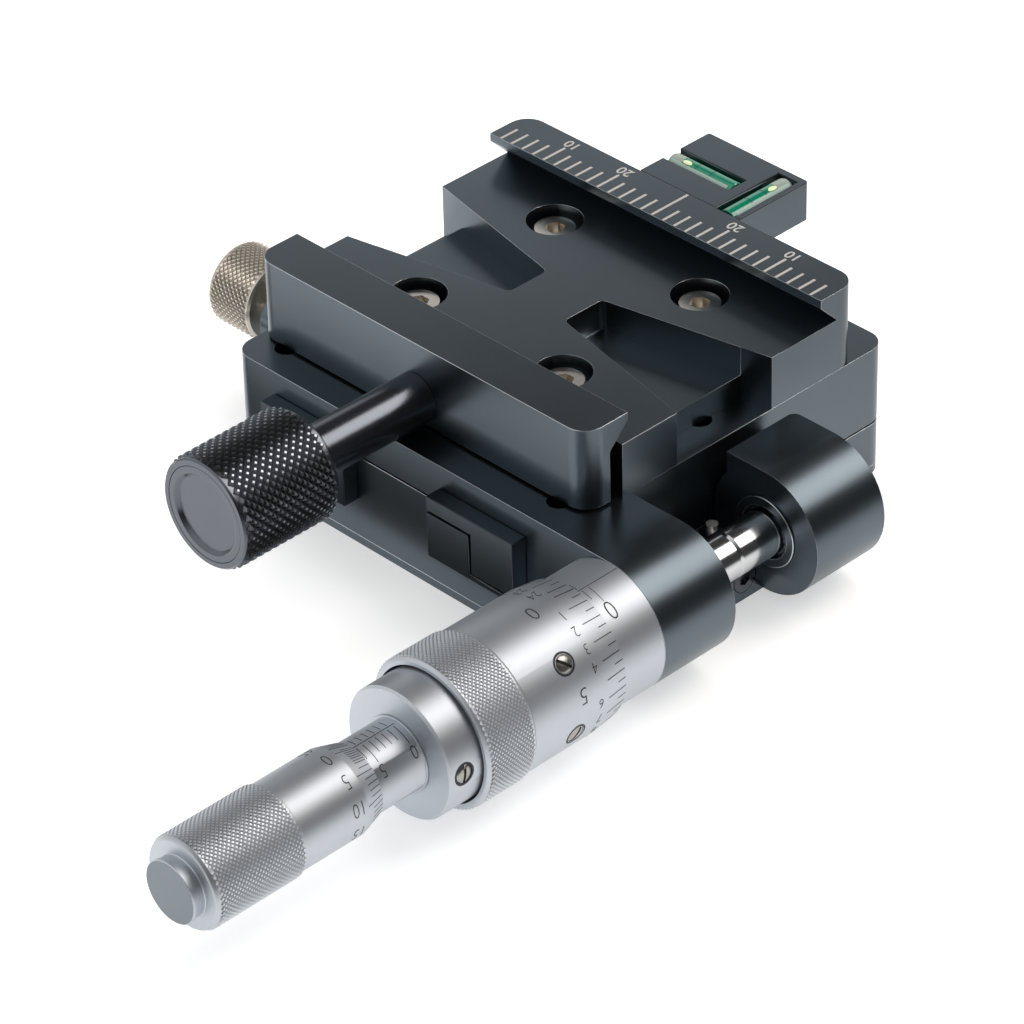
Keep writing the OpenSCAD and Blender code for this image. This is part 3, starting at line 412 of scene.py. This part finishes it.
def settled(shape, name, finish, body, slot, *replaced, angle=28, others=()):
    """A finished mesh becomes a piece that rides on its body and stands for its CAD nodes."""
    mesh = bpy.data.meshes.new(name)
    shape.to_mesh(mesh)
    shape.free()
    mesh.set_sharp_from_angle(angle=math.radians(angle))
    for look in (finish, *others):
        mesh.materials.append(look)
    piece = bpy.data.objects.new(name, mesh)
    scene.collection.objects.link(piece)
    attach(piece, body)
    if replaced:
        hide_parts(*replaced)


knob_groove = skinned("gloss_black_grooves", blast, (0.140, 0.150, 0.165), 0.25, 0.05, 3e-7,
                      metallic=0.95, grain=900)
# The knurl's blunt tips take a much lighter black: a painted highlight.
knob_tip_highlight = skinned("gloss_black_tips_highlight", blast, (0.33, 0.35, 0.39), 0.26, 0.05, 3e-7, grain=900)
knob_spot, along_y = Vector((0, 0, 23.7)), Vector((0, 1, 0))
knob_diamonds, knob_depth, knob_blunt = 37, 0.74, 0.32
knob_band = band(-60.7, -45.75, 12, 7.32)
knob_cup = [(-61.2, 6.58), (-61.2, 7.28), (-60.95, 7.5), (-60.8, 7.5)]
knob_back = [(-45.6, 7.3), (-45.2, 6.9), (-45.2, 3.03), (-59.2, 3.03), (-59.2, 6.58)]
knob = turned(knob_cup + knob_band + knob_back, 2 * knob_diamonds, knob_spot, along_y)
knob = knurl(knob, knob_spot, along_y, knob_band, knob_diamonds, knob_depth, knob_blunt)
settled(knob, "clamp_knob_turned", gloss, "clamp_knob", "gloss_black", "clamp_knob",
        others=(knob_groove, knob_tip_highlight))
eased("knob_cap", "clamp_knob", 0.12, gloss)
eased("clamp_spindle", "clamp_knob", 0.12, gloss)

# The rear jaw's scale: 2 mm lines and plain figures, engraved by laser down to the
# bright metal, read from the rear side.
engraved = skinned("engraved_white", blast, (0.46, 0.435, 0.405), 0.5, 0.2, 2e-7,
                   metallic=0.0, specular=0.4, grain=2600)
mark_height = 0.03


def line(marks, left, low, right_end, high):
    """A flat line of a scale, a hair thick, in millimetres on the flat or the unrolled drum."""
    place = Matrix.Translation(((left + right_end) / 2, (low + high) / 2, 0))
    size = Matrix.Diagonal((right_end - left, high - low, mark_height, 1))
    bmesh.ops.create_cube(marks, size=1, matrix=place @ size)


def figure(marks, word, x, y, height, slim=1.0, turn=0.0, weight=-0.018):
    """A plain figure of the given height, centred on x and y."""
    curve = bpy.data.curves.new("figure", "FONT")
    curve.body, curve.align_x, curve.align_y = word, "CENTER", "CENTER"
    curve.extrude, curve.resolution_u, curve.offset = mark_height / 2, 3, weight
    maker = bpy.data.objects.new("figure", curve)
    scene.collection.objects.link(maker)
    depsgraph = bpy.context.evaluated_depsgraph_get()
    mesh = bpy.data.meshes.new_from_object(maker.evaluated_get(depsgraph))
    bpy.data.objects.remove(maker)
    before = set(marks.verts)
    marks.from_mesh(mesh)
    bpy.data.meshes.remove(mesh)
    new = [v for v in marks.verts if v not in before]
    low = Vector([min(v.co[k] for v in new) for k in range(3)])
    high = Vector([max(v.co[k] for v in new) for k in range(3)])
    grow = height / (high.y - low.y)
    bmesh.ops.transform(marks, verts=new,
                        matrix=Matrix.Translation((x, y, 0)) @ Matrix.Rotation(turn, 4, "Z")
                        @ Matrix.Diagonal((grow * slim, grow, 1, 1))
                        @ Matrix.Translation(-(low + high) / 2))
    bmesh.ops.remove_doubles(marks, verts=new, dist=1e-5)


marks = bmesh.new()
jaw_edge, jaw_top, line_half = 17.1, 31.7, 0.2
for step in range(-14, 15):
    reach = 6.8 if step == 0 else 4.1 if abs(step) in (5, 10) else 3.1
    line(marks, 2 * step - line_half, jaw_edge, 2 * step + line_half, jaw_edge + reach)
for x, word in ((-20, "10"), (-10, "20"), (10, "20"), (20, "10")):
    figure(marks, word, x, 22.3, 1.7, turn=math.pi, weight=0.016)
bmesh.ops.transform(marks, verts=marks.verts,
                    matrix=Matrix.Diagonal((MM, MM, MM, 1)) @ Matrix.Translation((0, 0, jaw_top)))
settled(marks, "jaw_scale", engraved, "table", "black_anodised")

# The lock: a champagne nickel knob on the left, finely knurled, on the screw that
# presses a small pad on the table's side. Its skin keeps the lathe's fine rings.
turned_skin, given, place = skin_group("turned_skin", Color=(0.6, 0.61, 0.63, 1), Roughness=0.3,
                                       Spread=0.1)
squeezed = added(turned_skin, "ShaderNodeMapping",
                 {"Vector": place.outputs["Object"], "Scale": (150, 12000, 150)})
rings = added(turned_skin, "ShaderNodeTexNoise",
              {"Vector": squeezed.outputs[0], "Scale": 1, "Detail": 2})
haze = added(turned_skin, "ShaderNodeTexNoise",
             {"Vector": place.outputs["Object"], "Scale": 90, "Detail": 4})
both = added(turned_skin, "ShaderNodeMath", {0: rings.outputs["Fac"], 1: haze.outputs["Fac"]},
             operation="ADD")
swing = added(turned_skin, "ShaderNodeMath", {0: both.outputs[0], 1: 1.0}, operation="SUBTRACT")
swayed(turned_skin, given, haze.outputs["Fac"], swing.outputs[0], 0.03, rings.outputs["Fac"])
nickel = skinned("champagne_nickel", turned_skin, (0.66, 0.61, 0.54), 0.3, 0.08, 2e-7)
# The knurl's grooves are painted darker as shade and its blunt tips lighter as highlight.
nickel_groove_shade = skinned("nickel_groove_shades", turned_skin, (0.52, 0.475, 0.41), 0.36, 0.08, 2e-7)
nickel_tip_highlight = skinned("nickel_tip_highlights", turned_skin, (0.86, 0.80, 0.71), 0.34, 0.08, 2e-7)
lock_spot, along_x = Vector((0, -12.2, 13.6)), Vector((1, 0, 0))
lock_diamonds, lock_depth, lock_blunt = 40, 0.36, 0.2
lock_band = band(-48.55, -41.45, 8, 5.66)
lock_face = [(-49.0, 0), (-49.0, 5.3), (-48.7, 5.62)]
lock_back = [(-41.3, 5.62), (-41.0, 5.3), (-41.0, 3.0), (-38.9, 3.0), (-38.9, 2.0), (-45, 2.0),
             (-45, 0)]
lock = turned(lock_face + lock_band + lock_back, 2 * lock_diamonds, lock_spot, along_x)
lock = knurl(lock, lock_spot, along_x, lock_band, lock_diamonds, lock_depth, lock_blunt)
settled(lock, "lock_knob_turned", nickel, "lock_knob", "champagne_nickel", "lock_knob",
        others=(nickel_groove_shade, nickel_tip_highlight))

# The level's two vials: tubes of green liquid laid in the block's slots, each with a
# clear glass end, a bubble, two painted rings and a pale strip along its near side, a painted
# highlight.
glass = bpy.data.materials.new("vial_glass")
glass.use_nodes = True
tree = glass.node_tree
shader = tree.nodes["Principled BSDF"]
shader.inputs["Base Color"].default_value = (0.66, 0.76, 0.68, 1)
shader.inputs["Metallic"].default_value = 0.0
shader.inputs["Transmission Weight"].default_value = 0.55
shader.inputs["IOR"].default_value = 1.46
place = added(tree, "ShaderNodeTexCoord", {})
smear = added(tree, "ShaderNodeTexNoise", {"Vector": place.outputs["Object"], "Scale": 700})
film = added(tree, "ShaderNodeMapRange",
             {"Value": smear.outputs["Fac"], "To Min": 0.02, "To Max": 0.06})
tree.links.new(film.outputs[0], shader.inputs["Roughness"])
ring_paint = skinned("ring_paint", blast, (0.01, 0.03, 0.025), 0.4, 0.1, 2e-7,
                     metallic=0.0, specular=0.4, grain=2600)
liquid = skinned("green_liquid", blast, (0.0, 0.19, 0.105), 0.12, 0.1, 1e-7,
                 metallic=0.0, grain=300)
liquid.node_tree.nodes["Principled BSDF"].inputs["Coat Weight"].default_value = 1.0
highlight_look = skinned("pale_highlight_look", blast, (0.38, 0.52, 0.45), 0.5, 0.2, 1e-7,
                  metallic=0.0, specular=0.4, grain=900)
bubble_skin = skinned("bubble_skin", blast, (0.80, 0.90, 0.52), 0.1, 0.1, 1e-7,
                      metallic=0.0, specular=0.6, grain=300)
tube, round_steps = 1.5, 64
for node, core, spot, along, span, wet, rings, bubble, near in (
        ("vial_x", "liquid_x", Vector((0, 30.1, 30.3)), along_x, (-8.8, 2.8), (-6.5, 2.8),
         (-1.35, -4.0), -5.6, Vector((0, -1, 0))),
        ("vial_y", "liquid_y", Vector((6.5, 0, 30.3)), along_y, (24.5, 35.9), (24.5, 33.3),
         (28.4, 31.2), 32.6, Vector((1, 0, 0)))):
    dry = (span[0], wet[0]) if wet[0] > span[0] else (span[1], wet[1])
    outward = 1 if dry[0] > dry[1] else -1
    clear_end = turned([(dry[0], 0), (dry[0], 0.9), (dry[0] - 0.2 * outward, 1.32),
                        (dry[0] - 0.6 * outward, tube), (dry[1], tube), (dry[1], 0)],
                       round_steps, spot, along)
    settled(clear_end, node + "_clear_end", glass, "table", "vial_glass", node)
    rod = turned([(wet[0], 0), (wet[0], tube - 0.1), (wet[0] + 0.1, tube), (wet[1] - 0.1, tube),
                  (wet[1], tube - 0.1), (wet[1], 0)], round_steps, spot, along)
    settled(rod, node + "_filled", liquid, "table", "green_liquid", core, angle=40)
    for k, at in enumerate(rings):
        ring = turned([(at - 0.06, tube + 0.002), (at + 0.06, tube + 0.002),
                       (at + 0.06, tube + 0.012), (at - 0.06, tube + 0.012)],
                      round_steps, spot, along)
        settled(ring, f"{node}_ring_{k + 1}", ring_paint, "table", "gloss_black")
    # A pale strip round the tube's near side: a painted highlight where the glass catches the
    # light.
    highlight_strip = bmesh.new()
    lean = near.cross(along).z
    highlight_strip_start = Matrix.Rotation(lean * math.radians(33), 3, along)
    highlight_strip_ends, highlight_strip_low, highlight_strip_high = (span[0] + 0.7, span[1] - 0.7), 1.46, 1.52
    outline = [highlight_strip.verts.new((spot + along * at + highlight_strip_start @ Vector((0, 0, radius))) * MM)
               for at, radius in ((highlight_strip_ends[0], highlight_strip_low), (highlight_strip_ends[1], highlight_strip_low),
                                  (highlight_strip_ends[1], highlight_strip_high), (highlight_strip_ends[0], highlight_strip_high))]
    highlight_strip_end = highlight_strip.faces.new(outline)
    bmesh.ops.spin(highlight_strip, geom=[highlight_strip_end], cent=spot * MM, axis=along,
                   angle=lean * math.radians(32), steps=12, use_duplicate=False)
    bmesh.ops.holes_fill(highlight_strip, edges=[e for e in highlight_strip.edges if e.is_boundary], sides=4)
    bmesh.ops.recalc_face_normals(highlight_strip, faces=highlight_strip.faces)
    settled(highlight_strip, node + "_highlight_strip", highlight_look, "table", "green_liquid", angle=40)
    drop = bmesh.new()
    bmesh.ops.create_icosphere(drop, subdivisions=3, radius=1)
    drop_lean = Matrix.Rotation(lean * math.radians(14), 3, along)
    centre = spot + along * bubble + drop_lean @ Vector((0, 0, 1.42))
    drop_size = along * 0.35 + Vector((0.5, 0.5, 0.16))
    bmesh.ops.transform(drop, verts=drop.verts,
                        matrix=Matrix.Diagonal((MM, MM, MM, 1)) @ Matrix.Translation(centre)
                        @ Matrix.Diagonal((*drop_size, 1)))
    for face in drop.faces:
        face.smooth = True
    settled(drop, node + "_bubble", bubble_skin, "table", "green_liquid", angle=180)

# The micrometer's satin chrome parts, turned from steel: the stem that is pressed in
# the ear, the fine thimble, the hub between the heads, and the coarse sleeve.
satin = skinned("satin_chrome", turned_skin, (0.575, 0.61, 0.655), 0.45, 0.04, 2e-7, metallic=0.95)
head_spot = Vector((39.1, 0, 10.6))
for node, body in (("stem", "table"), ("fine_thimble", "fine_thimble"),
                   ("coarse_sleeve", "coarse_head"), ("hub", "coarse_head")):
    eased(node, body, 0.12, satin)

# The fine thimble's grip: a ring with a fine diamond knurl, chamfered on its outer end
# and pressed on the thimble.
groove = skinned("chrome_grooves", turned_skin, (0.60, 0.625, 0.66), 0.42, 0.05, 1e-7,
                 metallic=0.96)
# The blunt tips of this knurl and of the coarse thimble's take a much lighter chrome: a painted
# highlight.
flat = skinned("chrome_tips_highlight", turned_skin, (0.84, 0.87, 0.91), 0.5, 0.05, 1e-7)
grip_diamonds, grip_depth, grip_blunt = 88, 0.34, 0.22
grip_band = band(-60.6, -53.3, 12, 10.1)
grip_chamfer = [(-61.0, 9.25), (-61.0, 9.7), (-60.8, 9.95)]
grip_bore = [(-53.15, 10.05), (-53.0, 9.9), (-53.0, 6.1), (-54.2, 6.1), (-54.2, 9.25)]
grip = turned(grip_chamfer + grip_band + grip_bore, 2 * grip_diamonds, head_spot, along_y)
grip = knurl(grip, head_spot, along_y, grip_band, grip_diamonds, grip_depth, grip_blunt)
settled(grip, "fine_grip_turned", satin, "fine_thimble", "satin_chrome", "fine_grip",
        others=(groove, flat))

# The coarse thimble: a graduated bevel, a plain barrel, a finely knurled grip and a
# rounded collar, with a duller button in its end. It turns on the spindle's tail.
coarse_diamonds, coarse_depth, coarse_blunt = 55, 0.34, 0.23
coarse_band = band(-99.75, -86.55, 20, 6.06)
end_bore = [(-97.3, 0), (-97.3, 1.5), (-100.3, 1.5)]
collar_at, collar_radius, collar_round = -99.95, 5.62, 0.35
collar = [(collar_at - collar_round * math.sin(math.radians(a)),
           collar_radius + collar_round * math.cos(math.radians(a))) for a in range(90, 14, -15)]
bevel_and_bore = [(-86.4, 6.0), (-86.4, 5.9), (-76.4, 5.9), (-73.4, 5.02), (-73.4, 4.9),
                  (-90.2, 4.9), (-90.2, 2.05), (-93.4, 2.05), (-93.4, 0)]
barrel = turned(end_bore + collar + coarse_band + bevel_and_bore, 2 * coarse_diamonds, head_spot,
                along_y)
barrel = knurl(barrel, head_spot, along_y, coarse_band, coarse_diamonds, coarse_depth,
               coarse_blunt)
settled(barrel, "coarse_thimble_turned", satin, "coarse_thimble", "satin_chrome",
        "coarse_thimble", angle=14, others=(groove, flat))
dull = skinned("button_face", turned_skin, (0.26, 0.29, 0.32), 0.5, 0.04, 2e-7)
button = turned([(-102.1, 0), (-102.2, 3.2), (-102.2, 4.08), (-102.08, 4.2), (-101.7, 4.16),
                 (-100.8, 3.95), (-100.4, 4.0), (-100.3, 4.1), (-100.3, 1.5), (-97.4, 1.5),
                 (-97.4, 0)], 96, head_spot, along_y)
for face in button.faces:
    face.material_index = 1 if face.calc_center_median().y < -102.15 * MM else 0
settled(button, "end_button_turned", satin, "coarse_thimble", "satin_chrome", "end_button",
        angle=30, others=(dull,))

# The set screws of the heads: small slotted steel screws with domed heads, each ringed
# by a countersink painted black as shade, the slot too. Two hold the fine thimble to its
# nut, and one sits in the hub.
etched_and_painted_shade = skinned("etched_and_painted_shade_black", blast, (0.022, 0.023, 0.027), 0.5, 0.1, 2e-7,
                 metallic=0.0, specular=0.4, grain=2600)


def rolled(marks, name, station, degrees, radius, body, finish=etched_and_painted_shade, slant=0.0, replaced=()):
    """Rolls flat marks round the head's axis: X runs outwards, Y round it, Z stands on the drum."""
    facet = 0.4
    low, high = min(v.co.y for v in marks.verts), max(v.co.y for v in marks.verts)
    for k in range(1, int((high - low) / facet)):
        bmesh.ops.bisect_plane(marks, geom=marks.verts[:] + marks.edges[:] + marks.faces[:],
                               dist=1e-6, plane_co=(0, low + facet * k, 0), plane_no=(0, 1, 0))
    for vert in marks.verts:
        angle = math.radians(degrees) - vert.co.y / radius
        out = radius + slant * vert.co.x + vert.co.z
        vert.co = Vector((head_spot.x + out * math.cos(angle), station - vert.co.x,
                          head_spot.z + out * math.sin(angle))) * MM
    bmesh.ops.recalc_face_normals(marks, faces=marks.faces)
    settled(marks, name, finish, body, "gloss_black" if finish is etched_and_painted_shade else "stainless_screw",
            *replaced, angle=35, others=(etched_and_painted_shade,))


set_steel = skinned("set_screw_steel", turned_skin, (0.40, 0.385, 0.365), 0.3, 0.12, 5e-7)
drum_radius, hub_radius, dome_radius = 9.95, 8.9, 1.2
slot_half, slot_depth = 0.2, 0.22
for name, station, degrees, radius, body, turn, replaced in (
        ("fine_set_screw_1", -45.9, 40, drum_radius, "fine_thimble", -46, ("thimble_screw_1",)),
        ("fine_set_screw_2", -45.9, -19, drum_radius, "fine_thimble", 55, ("thimble_screw_2",)),
        ("hub_set_screw", -63.85, 3, hub_radius, "coarse_head", 80, ())):
    screw = turned([(0.13, 0), (0.12, 0.35), (0.08, 0.75), (0.0, 1.05), (-0.1, 1.19),
                    (-0.12, 1.22), (0.02, 1.27), (0.02, 1.55), (-0.06, 1.58), (-0.3, 1.4),
                    (-0.3, 0)], 48, Vector((0, 0, 0)), along_x)
    bmesh.ops.transform(screw, verts=screw.verts,
                        matrix=Matrix.Rotation(math.radians(turn), 4, "Z")
                        @ Matrix.Rotation(-math.pi / 2, 4, "Y")
                        @ Matrix.Diagonal((1 / MM, 1 / MM, 1 / MM, 1)))
    across = Matrix.Rotation(math.radians(turn), 3, "Z") @ Vector((0, 1, 0))
    for side in (-slot_half, slot_half):
        bmesh.ops.bisect_plane(screw, geom=screw.verts[:] + screw.edges[:] + screw.faces[:],
                               dist=1e-6, plane_co=across * side, plane_no=across)
    # Outside the dome the ring, and later the slot's walls and floor, take the black: painted
    # shade.
    for face in screw.faces:
        outside = face.calc_center_median().xy.length > dome_radius
        face.material_index = 1 if outside else 0
    slot_floor = [f for f in screw.faces
                  if f.normal.z > 0.3 and f.calc_center_median().xy.length < dome_radius
                  and abs(f.calc_center_median().dot(across)) < slot_half]
    sunk = bmesh.ops.extrude_face_region(screw, geom=slot_floor)["geom"]
    bmesh.ops.delete(screw, geom=slot_floor, context="FACES")
    bmesh.ops.translate(screw, verts=[v for v in sunk if isinstance(v, bmesh.types.BMVert)],
                        vec=(0, 0, -slot_depth))
    for face in sunk:
        if isinstance(face, bmesh.types.BMFace):
            face.material_index = 1
    rolled(screw, name, station, degrees, radius, body, set_steel, replaced=replaced)

# The stem's graduation: the reading line and the short scale of the fine thimble's
# travel, etched in the chrome and filled black like all the micrometer's marks.
stem_radius, reading_half, tick_half = 9.0, 0.05, 0.045
marks = bmesh.new()
line(marks, 0, -reading_half, 7.15, reading_half)
for spot, low, high in ((5.2, 0.3, 3.0), (6.3, 0.3, 2.0), (6.6, -1.6, -0.3)):
    line(marks, spot - tick_half, low, spot + tick_half, high)
figure(marks, "0", 5.2, 4.4, 2.5, 0.85)
rolled(marks, "stem_marks", -30.1, 84, stem_radius, "table")

# The fine thimble's graduation: fifty divisions on the bevel, and on the drum behind
# them a figure for every second one.
fiftieth = math.radians(360 / 50)
fine_bevel_start, fine_bevel_middle, fine_half = 9.5, 9.7, 0.06
marks = bmesh.new()
for step in range(50):
    spot = fiftieth * step * fine_bevel_middle
    line(marks, 0.05, spot - fine_half, 3.3 if step % 2 == 0 else 1.5, spot + fine_half)
rolled(marks, "fine_bevel_marks", -37.3, 86, fine_bevel_start, "fine_thimble",
       slant=0.45 / 3.7)
marks = bmesh.new()
for step in range(25):
    spot = 2 * fiftieth * step * drum_radius
    if step % 5:
        figure(marks, str(step), 1.0, spot, 1.4, 0.85)
    else:
        figure(marks, str(step), 3.7, spot, 2.2, 0.9)
rolled(marks, "fine_figures", -41.0, 83.6, drum_radius, "fine_thimble")

# The coarse sleeve's graduation: the reading line, with whole millimetres on one side
# and halves on the other.
sleeve_radius, whole, half = 4.85, 0.7, 1.2
marks = bmesh.new()
line(marks, 0.3, -reading_half, 14.0, reading_half)
for step in range(14):
    reach = 3.3 if step % 5 == 0 else 2.3
    line(marks, whole + step - reading_half, 0.35, whole + step + reading_half, reach)
    line(marks, half + step - reading_half, -1.7, half + step + reading_half, -0.3)
for step in (0, 5, 10):
    figure(marks, str(step), whole + step, 4.5, 1.7, 0.8)
rolled(marks, "sleeve_marks", -66.4, 90, sleeve_radius, "coarse_head")

# The coarse thimble's graduation: fifty divisions on the bevel, and on the barrel a
# figure at every fifth.
coarse_bevel_start, coarse_bevel_middle, barrel_radius = 5.02, 5.4, 5.9
marks = bmesh.new()
for step in range(50):
    spot = fiftieth * step * coarse_bevel_middle
    line(marks, 0.05, spot - tick_half, 2.9 if step % 5 == 0 else 1.9, spot + tick_half)
rolled(marks, "coarse_bevel_marks", -73.4, 87, coarse_bevel_start, "coarse_thimble",
       slant=0.88 / 3.0)
marks = bmesh.new()
for step in range(0, 50, 5):
    figure(marks, str(step), 1.5, fiftieth * step * barrel_radius, 1.9, 0.75)
rolled(marks, "coarse_figures", -76.4, 85.2, barrel_radius, "coarse_thimble")

# What stays as in the CAD: the ground steel of the spindle, the rails and the pins,
# the brass cages, and the screws, stainless but for the anvil's two blackened ones.
ground = skinned("ground_steel", turned_skin, (0.62, 0.63, 0.64), 0.16, 0.04, 2e-7)
brass = skinned("cage_brass", turned_skin, (0.60, 0.45, 0.20), 0.3, 0.1, 2e-7)
stainless = skinned("stainless_screw", turned_skin, (0.80, 0.75, 0.68), 0.24, 0.12, 5e-7)
blackened = skinned("blackened_screw", turned_skin, (0.13, 0.14, 0.155), 0.3, 0.1, 5e-7)
plain = {"ground_steel": ground, "stainless_screw": stainless, "cage_brass": brass,
         "champagne_nickel": nickel}
slots = {part["node"]: part["material_slot"] for part in frame["record"]["subparts"]}
for node, solid in frame["nodes"].items():
    if slots[node] in plain:
        for holder in solid.material_slots:
            holder.material = blackened if node.startswith("anvil_screw") else plain[slots[node]]

low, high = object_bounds()
